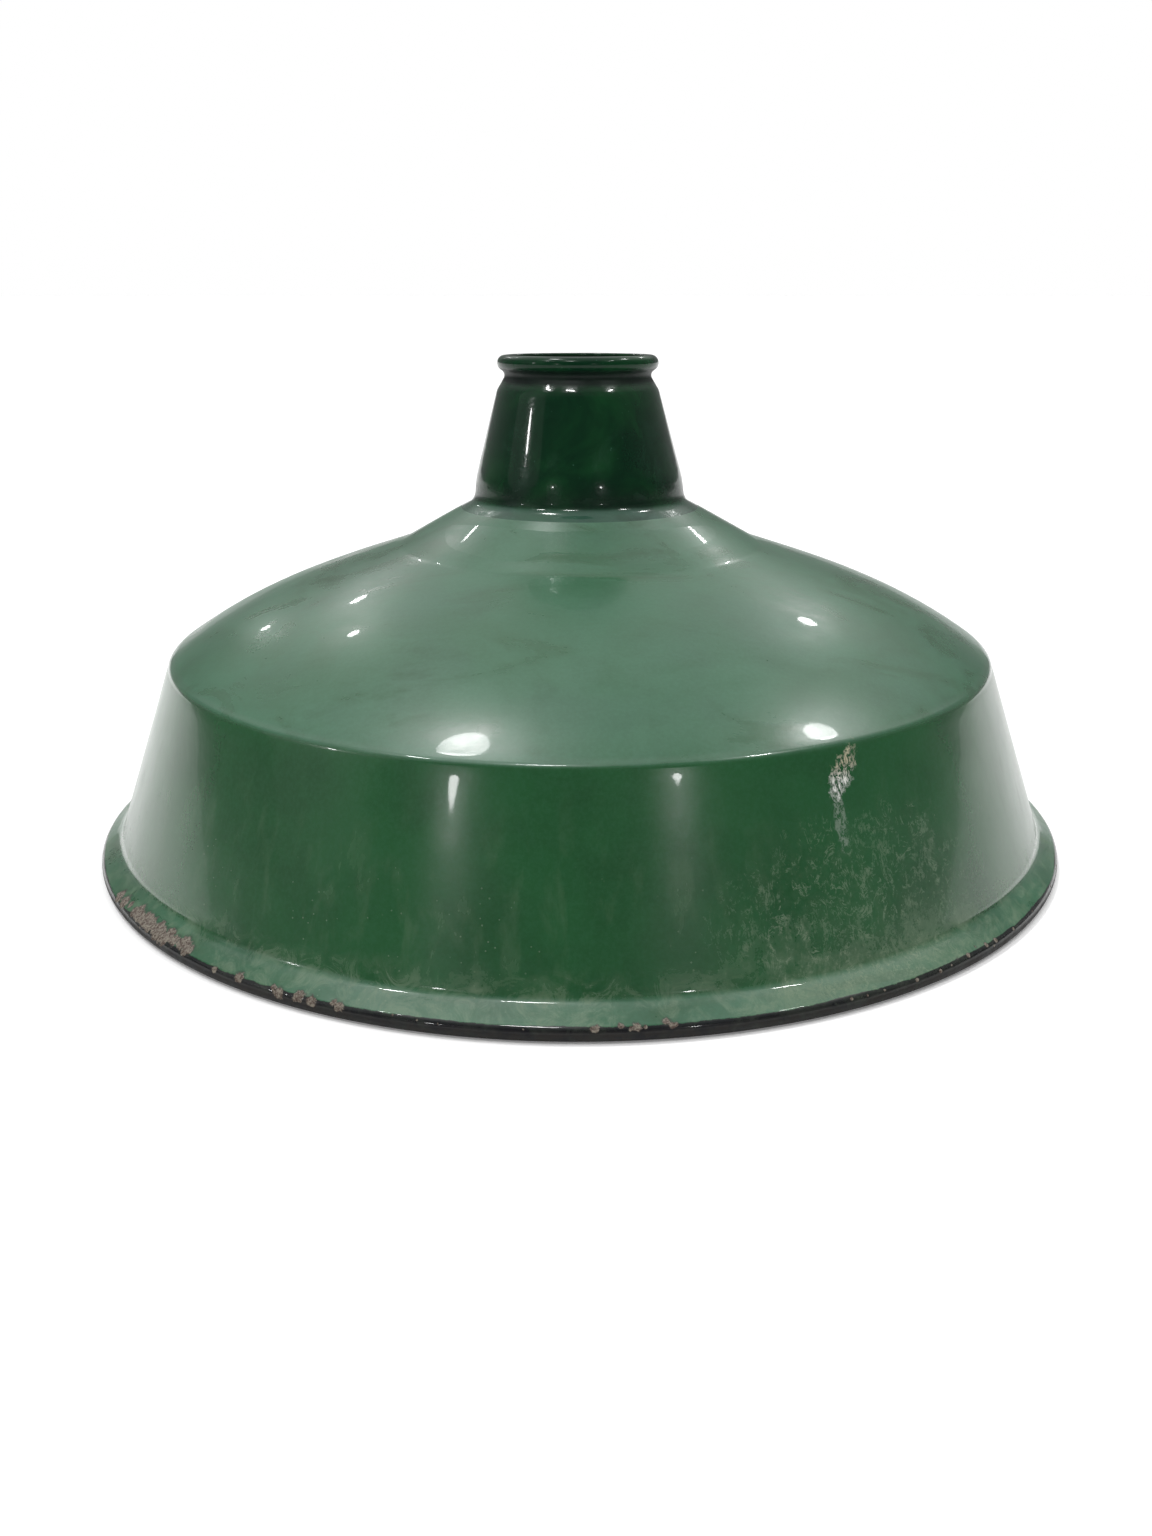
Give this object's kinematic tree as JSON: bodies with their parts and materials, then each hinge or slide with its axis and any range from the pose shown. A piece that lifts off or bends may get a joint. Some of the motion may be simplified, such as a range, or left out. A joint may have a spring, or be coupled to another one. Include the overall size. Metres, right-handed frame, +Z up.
{
  "type": "enamelled steel lampshade",
  "caption": "Vintage industrial lampshade in vitreous-enamelled steel: domed reflector with a flared skirt, wired rim and a tall neck with a beaded fitter lip.",
  "frame": {"origin": "on the shade's axis, in the plane that the rolled rim stands on", "axes": "+Z up along the shade's axis of revolution, towards the neck; X and Y are alike, because the shade is round"},
  "size_m": [0.356, 0.356, 0.175],
  "materials": {
    "steel": "matte",
    "green_enamel": "gloss",
    "black_enamel": "gloss",
    "white_enamel": "gloss"
  },
  "bodies": {
    "root": {"neck_steel": "steel", "reflector_steel": "steel", "rim_wire": "steel", "neck_green_enamel": "green_enamel", "reflector_green_enamel": "green_enamel", "rim_black_enamel": "black_enamel", "neck_white_enamel": "white_enamel", "reflector_white_enamel": "white_enamel"}
  },
  "joints": []
}
